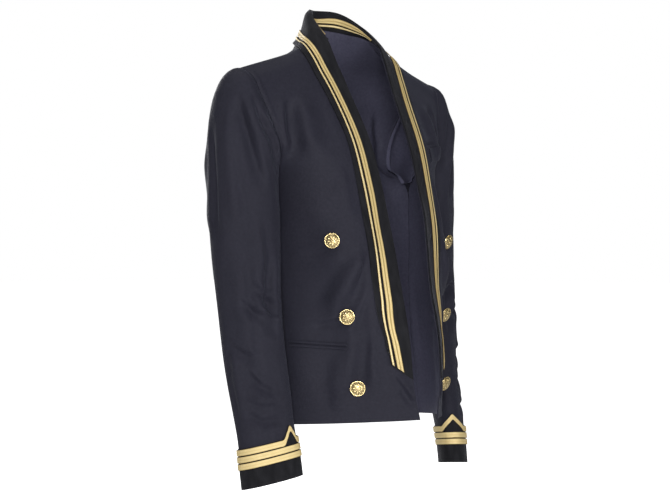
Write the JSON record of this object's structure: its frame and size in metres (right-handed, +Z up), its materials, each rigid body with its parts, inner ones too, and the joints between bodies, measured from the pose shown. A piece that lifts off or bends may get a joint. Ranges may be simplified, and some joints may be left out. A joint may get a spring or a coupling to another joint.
{
  "type": "double-breasted mess jacket",
  "caption": "Cropped double-breasted wool jacket worn open, with velvet shawl collar and cuffs edged in gold lace, filled out as worn.",
  "frame": {"origin": "the middle of the wearer's neck at the height of the side neck points, where the shoulders carry the coat", "axes": "+Z up, the wearer faces -Y, the wearer's left is +X"},
  "size_m": [0.4882, 0.2899, 0.704],
  "materials": {
    "navy_wool": "matte wool barathea, navy",
    "black_velvet": "black velvet pile",
    "gold_lace": "woven gold wire lace",
    "gilt_brass": "gilt, polished, a little worn"
  },
  "bodies": {
    "root": {"front_left": "navy_wool", "front_right": "navy_wool", "back": "navy_wool", "sleeve_top_left": "navy_wool", "sleeve_under_left": "navy_wool", "sleeve_top_right": "navy_wool", "sleeve_under_right": "navy_wool", "shawl_left": "black_velvet", "shawl_right": "black_velvet", "neck_band": "black_velvet", "lace_wide_left": "gold_lace", "lace_narrow_left": "gold_lace", "lace_wide_right": "gold_lace", "lace_narrow_right": "gold_lace", "neck_lace_wide": "gold_lace", "neck_lace_narrow": "gold_lace", "cuff_left": "black_velvet", "cuff_lace_low_left": "gold_lace", "cuff_lace_middle_left": "gold_lace", "cuff_lace_top_left": "gold_lace", "cuff_right": "black_velvet", "cuff_lace_low_right": "gold_lace", "cuff_lace_middle_right": "gold_lace", "cuff_lace_top_right": "gold_lace", "jet_upper_left": "navy_wool", "jet_lower_left": "navy_wool", "jet_upper_right": "navy_wool", "jet_lower_right": "navy_wool", "chest_welt": "navy_wool", "button_top_left": "gilt_brass", "button_middle_left": "gilt_brass", "button_low_left": "gilt_brass", "button_top_right": "gilt_brass", "button_middle_right": "gilt_brass", "button_low_right": "gilt_brass"}
  },
  "joints": []
}
